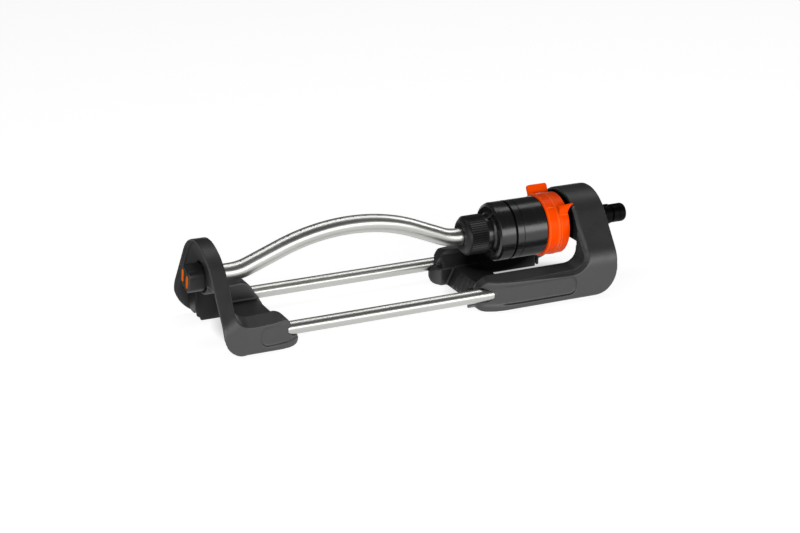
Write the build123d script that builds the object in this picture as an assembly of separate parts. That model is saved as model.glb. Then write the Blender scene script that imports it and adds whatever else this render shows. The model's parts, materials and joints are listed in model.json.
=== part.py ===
from build123d import *
import math
import os

# Oscillating lawn sprinkler: two moulded end frames joined by two steel tubes, with a bent
# spray tube that a water turbine swings between them. X runs along the sprinkler towards
# the hose, Y runs away from the viewer, Z is up, and the ground is Z = 0. Millimetres.

# Overall layout
overall_length = 430.0
plug_reach = 10.5
nipple_reach = 38.5
tube_inset = 10.4
base_axis_height = 15.0
spray_axis_height = 55.5
rest_tilt = 15.0

# Arched outline that both end frames share, seen along X
frame_half_width = 57.0
arch_height = 87.5
leg_angle = 54.0
foot_radius = 26.0
foot_side_height = 27.8
sole_round = 3.4
skin = 3.6
foot_top_draft = 9.0
foot_depth = 20.0
inner_wall = 3.0

# Left bracket
band_width = 17.0
band_lean = 4.0
foot_flare = 9.0
flare_drop = 9.5
flare_length = 24.0
rim_wall = 2.4
rim_depth = 3.5
web_thickness = 3.0
shelf_height = 51.5
shelf_thickness = 3.0
foot_length = 60.0
foot_height = 30.0
foot_top_fall = 2.5
foot_lean = 18.0
heel_radius = 26.0
crotch_radius = 14.0
nose_length = 34.0
nose_top_radius = 12.0
nose_sole_radius = 5.0
deck_height = 12.0
deck_thickness = 3.0
deck_setback = 15.0
deck_length = 36.0
eye_radius = 16.0
eye_length = 15.5
eye_setback = 4.5
wall_setback = 11.5
wall_rake = 3.5
socket_across = 19.0
socket_setback = 10.5
socket_floor = 3.0

# Right frame
post_width = 34.0
bar_length = 107.0
bar_height = 30.0
bar_nose_length = 44.0
bar_nose_top_radius = 16.0
bar_nose_lean = 7.0
bar_nose_sole_radius = 8.0
window_radius = 12.0
post_lean = 3.4
post_heel_radius = 24.0
web_setback = 4.0
door_start = 1.5
door_height = 46.0
hub_radius = 16.0
hub_length = 21.5
toe_reach = 6.0
toe_inner = 27.0
toe_inner_setback = 4.0
toe_spread = 45.0
toe_length = 30.0
toe_height = 16.0
toe_tip_height = 8.0
toe_tip_radius = 8.0
toe_sole_radius = 7.0
toe_sole_edge = 35.0
toe_sole_rise = 13.0
cheek_setback = 8.0
cheek_height = 26.0
ramp_setback = 10.0
ramp_rise = 16.0
ramp_run = 8.0
ramp_deck = 26.0
ramp_wall = 3.0
grip_rib_count = 5
grip_rib_pitch = 7.5
grip_rib_width = 1.6
grip_rib_height = 0.9
underside_ceiling = 10.0
rib_thickness = 2.4

# Shallow panel let into the outer faces of the feet and bars
panel_depth = 0.7
panel_height = 17.0
panel_radius = 7.0
foot_panel_length = 36.0
bar_panel_length = 99.0

# Base tubes
base_tube_diameter = 12.0
base_tube_wall = 1.0
socket_clearance = 0.05
frame_socket_depth = 55.0

# Spray tube
spray_diameter = 16.0
spray_wall = 1.0
arch_slope = 24.5
bend_radius = 40.0
crown_radius = 153.5
left_bend_distance = 17.0
right_bend_distance = 12.0
nozzle_count = 16
nozzle_pitch = 11.6
nozzle_diameter = 1.3

# End plug and left bearing
bush_wall = 2.5
bush_flange = 1.5
bush_flange_width = 2.0
bush_end_gap = 1.0
running_gap = 0.1
plug_across = 21.0
plug_corner = 6.0
plug_turn_gap = 0.5
plug_head_length = 20.0
plug_face = 3.0
plug_cavity_radius = 8.6
slot_width = 5.0
slot_height = 12.5
slot_spacing = 11.2
tool_thickness = 5.0
needle_radius = 0.6
needle_length = 14.0
stem_length = 11.0
stem_clearance = 0.08
seal_section = 0.8

# Motor: stack of lengths from the right frame's web back to the union nut
ring_to_web_gap = 3.8
stop_ring_width = 10.6
stop_ring_gap = 0.3
ring_to_housing_gap = 0.8
housing_length = 30.0
joint_groove = 2.2
cap_length = 14.7
collar_length = 7.0
nut_length = 21.0
motor_radius = 26.8
cap_wall = 2.2
spigot_wall = 1.8
spigot_length = 6.8
slip = 0.2
seam_position = 6.4
seam_width = 0.5
seam_depth = 0.5
front_corner = 3.3
collar_radius = 16.5
cap_rib_count = 3
cap_rib_turn = 5.0
cap_rib_width = 2.0
cap_rib_reach = 5.5
nut_radius = 18.0
nut_rib_count = 50
nut_rib_depth = 0.8
nut_rib_lead = 1.0
nut_bore_gap = 0.3
nut_nose = 5.0
nut_nose_radius = 11.0
neck_radius = 12.9
neck_bore = 6.5
ferrule_length = 4.0
seal_thickness = 2.0
spider_hub_radius = 2.8
spider_length = 3.0
spider_arm = 1.8
spider_arms = 3

# Gear case
chamber_radius = 21.8
plate_thickness = 3.0
rear_wall = 4.5
rear_pocket = 6.5
journal_radius = 11.0
journal_length = 10.0
gland_depth = 3.0
gland_width = 2.8
axle_radius = 1.0
axle_seat = 2.5
turbine_pin_radius = 1.5
bearing_gap = 0.06
gear_module = 0.5
pinion_teeth = 12
wheel_teeth = 30
pressure_angle = 25.0
addendum = 0.85
dedendum = 1.2
backlash = 0.1
wheel_width = 3.4
pinion_width = 3.8
gear_gap = 0.4
sun_width = 4.0

# Turbine
turbine_radius = 20.0
turbine_width = 9.0
turbine_hub_radius = 4.5
turbine_disc = 1.4
blade_count = 12
blade_thickness = 1.3
turbine_clearance = 1.2

# Reversing gear
lever_offset = 16.5
lever_radius = 1.6
lever_gland = 2.2
flap_reach = 6.5
flap_height = 3.4
flap_thickness = 1.6
flap_gap = 0.3
jet_radius = 1.2
jet_drop = 1.7
trip_thickness = 3.0
trip_tip_radius = 23.4
trip_gap = 0.8
spring_thickness = 0.5
spring_width = 4.0
spring_gap = 0.4

# Inlet
pipe_radius = 5.6
pipe_bore = 4.0
pipe_shoulder_radius = 9.0
inlet_collar_radius = 16.0
inlet_collar_length = 5.5
spigot_radius = 12.0
thread_length = 3.0
thread_fit = 0.02
filter_chamber_radius = 9.0
filter_wall = 1.0
filter_slots = 8
filter_slot_width = 2.4
filter_length = 16.0
carrier_wall = 1.8
carrier_floor = 3.0
carrier_front_gap = 0.2
washer_thickness = 1.0
washer_gap = 0.2

# Hose nipple, with places along it measured back from its tip
nipple_nut_radius = 14.5
nipple_nut_length = 10.0
nipple_collar_radius = 9.3
nipple_collar_end = 16.3
nipple_notch_radius = 7.1
nipple_notch_end = 14.3
nipple_lobe_radius = 8.6
nipple_dip_radius = 8.0
nipple_dip = 7.3
nipple_dip_width = 1.0
nipple_slope = 0.8
nipple_bore = 4.6
nipple_tip = 2.4

# Stop rings
stop_ring_radius = 28.2
stop_ring_fit = 0.12
tab_height = 8.9
tab_thickness = 3.0
tab_angle = -28.0
tab_setback = 1.4
tab_corner = 2.0
tab_overhang_gap = 0.6
fin_angle = 46.0
fin_ridge = 2.0
fin_upper_foot = 43.5
fin_lower_foot = 60.0
fin_height = 7.5
fin_overhang = 3.3
fin_rise = 2.7
lug_inner_radius = 22.6
lug_angle = 6.0
lug_width = 2.8
lug_slot_gap = 0.4
lug_lead = 8.0
ring_travel = 30.0
ring_overtravel = 4.0
swing_half_angle = 45.0

# Positions along X that follow from the lengths above
half_length = overall_length / 2
bracket_rim = -half_length + plug_reach
bracket_back = bracket_rim + band_width
bracket_end = bracket_back + foot_length
post_right = half_length - nipple_reach
post_left = post_right - post_width
bar_start = post_left - bar_length
toe_tip = bar_start - toe_reach
toe_end = bar_start + toe_length
web_left = post_left + web_setback
web_right = web_left + web_thickness
hub_end = web_left + hub_length
right_ring_end = web_left - ring_to_web_gap
right_ring_start = right_ring_end - stop_ring_width
left_ring_end = right_ring_start - stop_ring_gap
left_ring_start = left_ring_end - stop_ring_width
housing_end = left_ring_start - ring_to_housing_gap
housing_start = housing_end - housing_length
cap_end = housing_start - joint_groove
cap_start = cap_end - cap_length
nut_end = cap_start - collar_length
nut_start = nut_end - nut_length
spray_radius = spray_diameter / 2
spray_bore = spray_radius - spray_wall
base_tube_radius = base_tube_diameter / 2
tube_offset = frame_half_width - tube_inset
inner_face = frame_half_width - foot_depth
cap_bore = motor_radius - cap_wall
spigot_bore = cap_bore - slip - spigot_wall
plate_start = housing_start
plate_end = plate_start + plate_thickness
rear_wall_end = housing_end - rear_pocket
rear_wall_start = rear_wall_end - rear_wall
journal_end = rear_wall_start + journal_length
gear_distance = gear_module * (pinion_teeth + wheel_teeth) / 2
carrier_radius = stop_ring_radius - 2.0
carrier_bore = carrier_radius - carrier_wall
eye_start = bracket_rim + eye_setback
eye_end = eye_start + eye_length
socket_start = bracket_rim + socket_setback
bush_start = -half_length + plug_head_length + bush_end_gap
head_bore = (plug_across / 2 - plug_corner) * math.sqrt(2) + plug_corner + plug_turn_gap


def along_x(face, start, end):
    """Extrude a face drawn as (Y, Z) from one X position to another."""
    return extrude(Plane.YZ.offset(start) * face, end - start)


def across_y(face, half):
    """Extrude a face drawn as (X, Z) to both sides of the middle plane."""
    return extrude(Plane.XZ * face, half, both=True)


def lathe(*corners):
    """Solid of revolution about X from corners given as (x, radius)."""
    return revolve(make_face(Polyline(*corners, close=True)), Axis.X)


def rod(radius, start, end, y=0.0, z=0.0):
    """Round bar parallel to X."""
    bar = Cylinder(radius, end - start, align=(Align.CENTER, Align.CENTER, Align.MIN))
    return Pos(start, y, z) * Rot(0, 90, 0) * bar


def block(x0, x1, y0, y1, z0, z1):
    """Box between two corners."""
    size = (x1 - x0, y1 - y0, z1 - z0)
    middle = ((x0 + x1) / 2, (y0 + y1) / 2, (z0 + z1) / 2)
    return Pos(*middle) * Box(*size)


def polar(radius, angle):
    """Y and Z of a point round the spray axis, from the top towards the viewer."""
    turn = math.radians(angle)
    return -radius * math.sin(turn), radius * math.cos(turn)


def around(shape, count):
    """Copies of a shape spread evenly round the X axis."""
    return [Rot(360 / count * n, 0, 0) * shape for n in range(count)]


def both_sides(shape):
    """A shape and its mirror image across the middle plane."""
    return [shape, shape.mirror(Plane.XZ)]


def on_axis(shape, tilt=0.0):
    """Move a shape drawn about the X axis up to the spray axis."""
    return Pos(0, 0, spray_axis_height) * Rot(tilt, 0, 0) * shape


def o_ring(radius, section, position):
    """Round seal about the X axis."""
    return Pos(position, 0, 0) * Rot(0, 90, 0) * Torus(radius, section)


# End frames

def arch_face(inset=0.0, floor=0.0, flare=0.0):
    """Outline of the end frames: round top, straight legs, feet that turn upright."""
    lean = math.radians(leg_angle)
    out, up = math.sin(lean), math.cos(lean)
    half_width = frame_half_width + flare * foot_flare
    side_height = foot_side_height - flare * flare_drop
    foot_centre = (half_width - foot_radius, side_height)
    knee = (foot_centre[0] + foot_radius * out, foot_centre[1] + foot_radius * up)
    top_radius = (out * knee[0] + up * (knee[1] - arch_height)) / (1 - up)
    top_centre = arch_height - top_radius
    foot = foot_radius - inset
    top = top_radius - inset
    half_lean = (math.pi / 2 + lean) / 2
    ankle = (half_width - inset, side_height)
    bulge = (foot_centre[0] + foot * math.sin(half_lean), foot_centre[1] + foot * math.cos(half_lean))
    knee = (foot_centre[0] + foot * out, foot_centre[1] + foot * up)
    shoulder = (top * out, top_centre + top * up)
    half = [
        Line((ankle[0], floor), ankle),
        ThreePointArc(ankle, bulge, knee),
        Line(knee, shoulder),
    ]
    other = [edge.mirror(Plane.YZ) for edge in half]
    crown = ThreePointArc(shoulder, (0, arch_height - inset), (-shoulder[0], shoulder[1]))
    sole = Line((-ankle[0], floor), (ankle[0], floor))
    return make_face(half + [crown] + other + [sole])


def blank_face(flare=0.0):
    """The outline with its sole's outer edges rounded."""
    face = arch_face(flare=flare)
    return fillet(face.vertices().group_by(Axis.Y)[0], sole_round)


def nose_plan(tip, far, length, spread=0.0, inset=0.0):
    """Plan of a frame whose feet round off in long ellipses towards a tip."""
    turn = 1 if far > tip else -1
    centre = tip + turn * length
    bow = EllipticalCenterArc((0, -inner_face), length - inset, foot_depth - inset, 180, arc_size=90)
    if turn < 0:
        bow = bow.mirror(Plane.YZ)
    front = centre - turn * (length - inset)
    flank = frame_half_width - inset
    near = [
        Line((front, 0), (front, -inner_face)),
        Pos(centre, 0) * bow,
        Polyline((centre, -flank), (far, -flank - spread), (far, 0)),
    ]
    return make_face(near + [edge.mirror(Plane.XZ) for edge in near])


def sloping_top(*corners, radius):
    """Cutters that open a window's edge outwards on both sides."""
    face = make_face(FilletPolyline(*corners, radius=radius, close=True))
    reach = foot_depth + foot_flare
    wedge = extrude(Plane.XZ.offset(inner_face) * face, reach, taper=-foot_top_draft)
    return both_sides(wedge)


def socket_boss(start, end):
    """Eight-sided sleeve that holds a base tube."""
    octagon = Pos(tube_offset, base_axis_height) * RegularPolygon(socket_across / 2, 8, False, 22.5)
    return along_x(octagon, start, end)


def panel(start, end, open_right, plan):
    """Shallow rounded recess in the outer faces, open towards the tube, that leaves a plan standing."""
    low = base_axis_height - panel_height / 2 - panel_depth
    high = low + panel_height
    corners = [(start, low), (end, low), (end, high), (start, high)]
    rounds = [panel_radius, 0, 0, panel_radius] if open_right else [0, panel_radius, panel_radius, 0]
    face = make_face(FilletPolyline(*corners, radius=rounds, close=True))
    return across_y(face, frame_half_width + 1) - extrude(plan, foot_height)


def left_bracket():
    """A-shaped end stand with the bearing eye, two feet and the deck between them."""
    above = arch_height + 5
    foot_low = foot_height - foot_top_fall
    side = FilletPolyline(
        (bracket_rim, above), (bracket_rim, 0), (bracket_end, 0),
        (bracket_end - foot_lean, foot_height), (bracket_back, foot_low), (bracket_back - band_lean, above),
        radius=[0, heel_radius, nose_sole_radius, nose_top_radius, crotch_radius, 0], close=True)
    straight = bracket_rim + flare_length
    rim_face = Plane.YZ.offset(bracket_rim) * blank_face(1.0)
    flat_face = Plane.YZ.offset(straight) * blank_face()
    body = loft([rim_face, flat_face], ruled=True)
    body += along_x(blank_face(), straight, bracket_end)
    body &= across_y(make_face(side), frame_half_width + foot_flare)
    body &= extrude(nose_plan(bracket_end, bracket_rim, nose_length, foot_flare), above)
    body -= sloping_top(
        (bracket_back - band_lean, above), (bracket_back, foot_low),
        (bracket_end - foot_lean, foot_height), (bracket_end, foot_height), (bracket_end, above),
        radius=[0, crotch_radius, 0, 0, 0])
    web_front = bracket_rim + rim_depth
    web_back = web_front + web_thickness
    shell_back = bracket_back - foot_top_fall - skin
    shelf_top = shelf_height + shelf_thickness
    foot_ceiling = foot_height - underside_ceiling
    far = bracket_end - nose_length / 2
    eye = on_axis(rod(eye_radius, eye_start, eye_end))
    wall_front = bracket_rim + wall_setback
    walls = both_sides(block(wall_front, bracket_end, inner_face, inner_face + inner_wall, -1, above))
    bosses = both_sides(socket_boss(socket_start, bracket_end))
    rim_hollow = Plane.YZ.offset(bracket_rim) * arch_face(skin, -1, 1.0)
    flat_hollow = Plane.YZ.offset(straight) * arch_face(skin, -1)
    low_outline = loft([rim_hollow, flat_hollow], ruled=True)
    low_outline += along_x(arch_face(skin, -1), straight, far)
    rim_pocket = along_x(arch_face(rim_wall, -1, 1.0), bracket_rim - 1, web_front)
    shell = low_outline & block(bracket_rim - 1, shell_back, -above, above, -1, shelf_height)
    cavity = low_outline & block(shell_back - 1, far, -above, above, -1, foot_ceiling)
    tray = along_x(arch_face(skin, -1), web_back, bracket_back + 1)
    tray &= block(web_back, bracket_back + 1, -above, above, shelf_top, above)
    between = block(bracket_rim - 1, bracket_end + 1, -inner_face, inner_face, -1, shelf_height)
    between += block(bracket_back, bracket_end + 1, -inner_face, inner_face, -1, above)
    deck_start = bracket_back + deck_setback
    deck = block(
        deck_start, deck_start + deck_length, -inner_face, inner_face,
        deck_height - deck_thickness, deck_height)
    for space in (rim_pocket, tray, between - deck):
        body -= space - eye
    for space in (shell, cavity):
        body -= space - walls - bosses - eye - deck
    body += eye
    wall_end = bracket_rim + heel_radius
    plate = make_face(Polyline(
        (wall_front, heel_radius), (wall_front + wall_rake, 0), (wall_end, 0), (wall_end, heel_radius),
        close=True))
    body += both_sides(extrude(Plane.XZ.offset(inner_face) * plate, inner_wall))
    bore = both_sides(rod(
        base_tube_radius + socket_clearance, socket_start + socket_floor, bracket_end + 1,
        tube_offset, base_axis_height))
    inside = nose_plan(bracket_end, bracket_rim, nose_length, inset=panel_depth)
    body = body - bore - panel(bracket_end - foot_panel_length, bracket_end + 1, True, inside)
    body -= on_axis(rod(head_bore, bracket_rim - 1, bush_start))
    return body - on_axis(rod(spray_radius + bush_wall, bush_start - 1, eye_end + 1))


def bar_toes():
    """Low toes under the base tubes, at the tips of the right-hand bars."""
    plan = FilletPolyline(
        (toe_tip, -toe_spread), (toe_end, sole_round - frame_half_width), (toe_end, -toe_inner),
        (bar_start + toe_inner_setback, -toe_inner), radius=[toe_tip_radius, 0, 0, 0], close=True)
    slope = toe_height - toe_tip_height
    side = FilletPolyline(
        (toe_tip, 0), (toe_end, 0), (toe_end, toe_height), (toe_tip + slope, toe_height),
        (toe_tip, toe_tip_height), radius=[toe_sole_radius, 0, 0, toe_tip_radius, 0], close=True)
    section = Polyline(
        (-toe_inner, 0), (-toe_sole_edge, 0), (-frame_half_width, toe_sole_rise),
        (-frame_half_width, toe_height), (-toe_inner, toe_height), close=True)
    toe = extrude(make_face(plan), toe_height) & across_y(make_face(side), frame_half_width)
    return both_sides(toe & along_x(make_face(section), toe_tip, toe_end))


def right_frame():
    """A-shaped stand with two long bars, a carrying window on each side and the inlet hub."""
    above = arch_height + 5
    side = FilletPolyline(
        (bar_start, 0), (post_right, 0), (post_right, above), (post_left + post_lean, above),
        (post_left, bar_height), (bar_start + bar_nose_lean, bar_height),
        radius=[bar_nose_sole_radius, post_heel_radius, 0, 0, window_radius, bar_nose_top_radius], close=True)
    body = along_x(blank_face(), bar_start, post_right)
    body &= across_y(make_face(side), frame_half_width)
    body &= extrude(nose_plan(bar_start, post_right, bar_nose_length), above)
    body -= sloping_top(
        (bar_start, above), (bar_start, bar_height), (post_left, bar_height), (post_left + post_lean, above),
        radius=[0, 0, window_radius, 0])
    hub = on_axis(rod(hub_radius, web_left, hub_end))
    rib = on_axis(block(
        web_left, hub_end - rib_thickness, -rib_thickness / 2, rib_thickness / 2,
        hub_radius - 1, arch_height))
    spread = along_x(arch_face(skin, -1), bar_start - 1, web_left)
    spread &= block(bar_start - 1, web_left, -inner_face, inner_face, -1, above)
    ramp_start = bar_start + ramp_setback
    ramp_top = ramp_start + ramp_run
    ramp_end = ramp_top + ramp_deck
    ramp_under = ramp_rise - ramp_wall
    ramp = make_face(Polyline(
        (ramp_start, 0), (ramp_top, ramp_rise), (ramp_end, ramp_rise), (ramp_end, ramp_under),
        (ramp_top + ramp_wall, ramp_under), (ramp_start + ramp_wall * 1.5, 0), close=True))
    spread -= across_y(ramp, inner_face)
    pocket = along_x(arch_face(skin, -1), web_right, post_right + 1) - hub - rib
    door_half = inner_face + inner_wall
    doorway = block(
        post_left + door_start, web_right + 1, -door_half, door_half, -1, door_height)
    bosses = both_sides(socket_boss(bar_start, bar_start + frame_socket_depth + socket_floor))
    stiffener = both_sides(block(
        bar_start, web_left, tube_offset - rib_thickness / 2,
        tube_offset + rib_thickness / 2, -1, base_axis_height))
    cavity = both_sides(block(
        bar_start + bar_nose_length / 2, web_left, inner_face + inner_wall,
        frame_half_width - skin, -1, bar_height - underside_ceiling))
    below = [space - bosses - stiffener for space in cavity]
    body = body - spread - pocket - (doorway - hub) - below
    cheek = make_face(Polyline(
        (toe_inner, 0), (inner_face, 0), (inner_face, cheek_height), (toe_inner, ramp_rise), close=True))
    body += both_sides(along_x(cheek, bar_start + cheek_setback, ramp_end))
    inside = nose_plan(bar_start, post_right, bar_nose_length, inset=panel_depth)
    body -= panel(bar_start - 1, bar_start + bar_panel_length, False, inside)
    body += bar_toes()
    body -= both_sides(rod(
        base_tube_radius + socket_clearance, toe_tip - 1, bar_start + frame_socket_depth,
        tube_offset, base_axis_height))
    body -= on_axis(rod(spigot_radius + socket_clearance, web_left - 1, hub_end + 1))
    grip_length = ramp_rise * 0.8
    grip = block(-grip_rib_height, grip_rib_height, -grip_rib_width / 2, grip_rib_width / 2, 0, grip_length)
    lean = math.degrees(math.atan2(ramp_run, ramp_rise))
    for n in range(grip_rib_count):
        y = (n - (grip_rib_count - 1) / 2) * grip_rib_pitch
        body += Pos(ramp_start + ramp_run * 0.1, y, ramp_rise * 0.1) * Rot(0, lean, 0) * grip
    return body


def base_tube(side):
    """Straight steel tube from the left foot to the right bar."""
    start = socket_start + socket_floor
    end = bar_start + frame_socket_depth
    outer = rod(base_tube_radius, start, end, side * tube_offset, base_axis_height)
    return outer - rod(base_tube_radius - base_tube_wall, start, end, side * tube_offset, base_axis_height)


# Spray tube, its left bearing and the end plug

tube_left = -half_length + plug_head_length
tube_right = nut_start + nut_nose + seal_thickness + ferrule_length


def spray_path():
    """Centre line: straight ends, a gentle crown and a bend at each side."""
    low_left = eye_end + bush_flange + left_bend_distance
    low_right = nut_start - right_bend_distance
    middle = (low_left + low_right) / 2
    peak = math.tan(math.radians(arch_slope)) * (low_right - low_left) / 2
    return FilletPolyline(
        (tube_left, 0, 0), (low_left, 0, 0), (middle, 0, peak), (low_right, 0, 0), (tube_right, 0, 0),
        radius=[bend_radius, crown_radius, bend_radius])


def spray_tube():
    """Bent steel tube with a row of nozzle holes along its crown."""
    path = spray_path()
    ring = Circle(spray_radius) - Circle(spray_bore)
    tube = sweep(Plane(origin=(tube_left, 0, 0), z_dir=(1, 0, 0)) * ring, path)
    crown = path.length / 2 - right_bend_distance
    drill = Cylinder(nozzle_diameter / 2, spray_radius, align=(Align.CENTER, Align.CENTER, Align.MIN))
    for n in range(nozzle_count):
        place = crown + (n - (nozzle_count - 1) / 2) * nozzle_pitch
        point = path.position_at(place, position_mode=PositionMode.LENGTH)
        run = path.tangent_at(place, position_mode=PositionMode.LENGTH)
        tube -= Plane(origin=point, z_dir=(-run.Z, 0, run.X)) * Pos(0, 0, spray_wall * 2) * drill
    return tube


def bearing_bush():
    """Flanged plain bearing in the bracket's eye."""
    bore = spray_radius + running_gap
    seat = spray_radius + bush_wall
    return lathe(
        (bush_start, bore), (bush_start, seat), (eye_end, seat), (eye_end, seat + bush_flange_width),
        (eye_end + bush_flange, seat + bush_flange_width), (eye_end + bush_flange, bore))


plug_start = -half_length
tool_start = plug_start + plug_face
stem_start = tool_start + tool_thickness
plug_end = plug_start + plug_head_length


def plug_slots(clearance):
    """The two upright windows in the plug's face."""
    slot = Rot(0, 0, 90) * SlotOverall(slot_height - 2 * clearance, slot_width - 2 * clearance)
    pair = [Pos(side * slot_spacing / 2, 0) * slot for side in (-1, 1)]
    return [along_x(face, plug_start, tool_start) for face in pair]


def end_plug():
    """Square-headed cap with rounded corners and two windows in its face."""
    square = RectangleRounded(plug_across, plug_across, plug_corner)
    head = along_x(square, plug_start, plug_end)
    head = chamfer(head.faces().sort_by(Axis.X)[0].edges(), 1.0)
    return head - rod(plug_cavity_radius, tool_start, plug_end + 1) - plug_slots(0)


def cleaning_tool():
    """Coloured insert with a steel-thin needle that clears the nozzle holes."""
    disc = rod(plug_cavity_radius - stem_clearance, tool_start, stem_start)
    needle = rod(needle_radius, stem_start, stem_start + needle_length)
    return disc + needle + plug_slots(stem_clearance)


def plug_stem():
    """Round stem that closes the cap and seals inside the spray tube."""
    seat = plug_end
    stem = lathe(
        (stem_start, 0), (stem_start, plug_cavity_radius), (seat, plug_cavity_radius),
        (seat, spray_bore - stem_clearance), (seat + stem_length, spray_bore - stem_clearance),
        (seat + stem_length, 0))
    groove = seat + stem_length / 2
    floor = spray_bore - 2 * seal_section - stem_clearance
    stem -= lathe((groove - seal_section, floor), (groove - seal_section, spray_bore),
                  (groove + seal_section, spray_bore), (groove + seal_section, floor))
    return stem - rod(needle_radius + stem_clearance, stem_start - 1, stem_start + needle_length + 1)


def plug_seal():
    """Round seal in the stem's groove."""
    return o_ring(spray_bore - seal_section - stem_clearance / 2, seal_section, plug_end + stem_length / 2)


# Motor casing

def union_nut():
    """Ribbed nut with a domed front that clamps the spray tube onto the motor's neck."""
    bore = spray_radius + nut_bore_gap
    root = nut_radius - nut_rib_depth
    seat = nut_start + nut_nose + ferrule_length / 2
    dome_end = nut_start + nut_nose
    dome = EllipticalCenterArc(
        (dome_end, nut_nose_radius), nut_nose, root - nut_nose_radius, 90, arc_size=90)
    rest = Polyline(
        (dome_end, root), (nut_end, root), (nut_end, neck_radius + slip), (seat, neck_radius + slip),
        (seat, bore), (nut_start, bore), (nut_start, nut_nose_radius))
    nut = revolve(make_face([dome, rest]), Axis.X)
    points = []
    for n in range(2 * nut_rib_count):
        points.append(polar(nut_radius - nut_rib_depth * (n % 2), 180 / nut_rib_count * n))
    grip = make_face(Polyline(*points, close=True)) - Circle(root - nut_rib_depth)
    return nut + along_x(grip, dome_end - nut_rib_lead, nut_end - nut_rib_lead)


ferrule_start = nut_start + nut_nose + ferrule_length / 2
seal_start = ferrule_start + ferrule_length
neck_start = seal_start + seal_thickness


def tube_ferrule():
    """Collar on the end of the spray tube that the nut pulls on."""
    return lathe(
        (ferrule_start, spray_radius), (ferrule_start, neck_radius - slip),
        (seal_start, neck_radius - slip), (seal_start, spray_radius))


def tube_seal():
    """Flat seal between the ferrule and the motor's neck."""
    return lathe(
        (seal_start, neck_bore), (seal_start, neck_radius - slip),
        (neck_start, neck_radius - slip), (neck_start, neck_bore))


def motor_cap():
    """Front cover with the threaded neck, gussets and the turbine's front bearing."""
    inside = cap_start + front_corner
    cap = lathe(
        (neck_start, neck_bore), (neck_start, neck_radius), (nut_end, neck_radius),
        (nut_end, collar_radius), (cap_start - 1.5, collar_radius), (cap_start, collar_radius + 1.5),
        (cap_start, motor_radius - front_corner),
        (cap_start + front_corner * 0.3, motor_radius - front_corner * 0.3),
        (cap_start + front_corner, motor_radius), (cap_end, motor_radius), (cap_end, cap_bore),
        (inside + 2, cap_bore), (inside, cap_bore - 2), (inside, neck_bore))
    gusset = make_face(Polyline(
        (cap_start - cap_rib_reach, collar_radius - 0.3), (cap_start + 0.3, collar_radius - 0.3),
        (cap_start + 0.3, collar_radius + cap_rib_reach), close=True))
    cap += around(Rot(cap_rib_turn, 0, 0) * across_y(gusset, cap_rib_width / 2), cap_rib_count)
    spider = rod(spider_hub_radius, inside - spider_length, inside)
    arm = block(inside - spider_length, inside, -spider_arm / 2, spider_arm / 2, 0, neck_bore + 0.5)
    spider += around(arm, spider_arms)
    return cap + spider - rod(turbine_pin_radius + bearing_gap, inside - spider_length - 1, inside + 1)


def cap_seal():
    """Round seal in the joint between cap and housing."""
    section = joint_groove / 2 - 0.05
    return o_ring(cap_bore - slip + section, section, (cap_end + housing_start) / 2)


def gear_spots():
    """Y and Z of the two gear axles, which make an equal-sided triangle with the axis."""
    return polar(gear_distance, -30), polar(gear_distance, 30)


lever_spot = polar(lever_offset, 180)


def motor_housing():
    """Gear case: front spigot, rear wall with journal, and a skirt towards the stop rings."""
    outer_spigot = cap_bore - slip
    case = lathe(
        (housing_start - spigot_length, spigot_bore), (housing_start - spigot_length, outer_spigot),
        (housing_start, outer_spigot), (housing_start, motor_radius), (housing_end, motor_radius),
        (housing_end, cap_bore), (rear_wall_end, cap_bore), (rear_wall_end, journal_radius),
        (journal_end, journal_radius), (journal_end, pipe_radius + gland_width),
        (journal_end - gland_depth, pipe_radius + gland_width),
        (journal_end - gland_depth, pipe_radius + running_gap),
        (rear_wall_start, pipe_radius + running_gap), (rear_wall_start, chamber_radius),
        (plate_end, chamber_radius), (plate_end, spigot_bore))
    seam = housing_start + seam_position
    case -= lathe(
        (seam, motor_radius - seam_depth), (seam, motor_radius + 1),
        (seam + seam_width, motor_radius + 1), (seam + seam_width, motor_radius - seam_depth))
    for y, z in gear_spots():
        case -= rod(axle_radius, rear_wall_start - 1, rear_wall_start + axle_seat, y, z)
    case -= rod(lever_radius + bearing_gap, rear_wall_start - 1, rear_wall_end + 1, *lever_spot)
    gland = lever_radius + 2 * seal_section
    return case - rod(gland, rear_wall_end - lever_gland, rear_wall_end + 1, *lever_spot)


def jet_plate():
    """Disc with the two jets, the turbine's rear bearing and the axle seats."""
    plate = rod(spigot_bore - 0.05, plate_start, plate_end)
    plate -= rod(turbine_pin_radius + bearing_gap, plate_start - 1, plate_end + 1)
    for y, z in gear_spots():
        plate -= rod(axle_radius, plate_end - axle_seat, plate_end + 1, y, z)
    for side in (-1, 1):
        jet = rod(jet_radius, plate_start - 1, plate_end + 1, side * flap_reach, lever_spot[1] - jet_drop)
        plate -= jet
    return plate


def gear_axles():
    """Two steel pins between the jet plate and the rear wall."""
    start = plate_end - axle_seat
    end = rear_wall_start + axle_seat
    return [rod(axle_radius, start, end, y, z) for y, z in gear_spots()]


def rotary_seal():
    """Round seal between the turning housing and the fixed inlet pipe."""
    section = gland_width / 2 - running_gap
    return o_ring(pipe_radius + gland_width - section, section, journal_end - gland_depth / 2)


def thrust_washers():
    """Slide washers at both ends of the journal."""
    bore = pipe_radius + running_gap
    rim = pipe_shoulder_radius
    front = rear_wall_start - washer_thickness
    pairs = [(front, rear_wall_start), (journal_end, journal_end + washer_thickness / 2)]
    return [lathe((a, bore), (a, rim), (b, rim), (b, bore)) for a, b in pairs]


# Gear train

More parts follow.
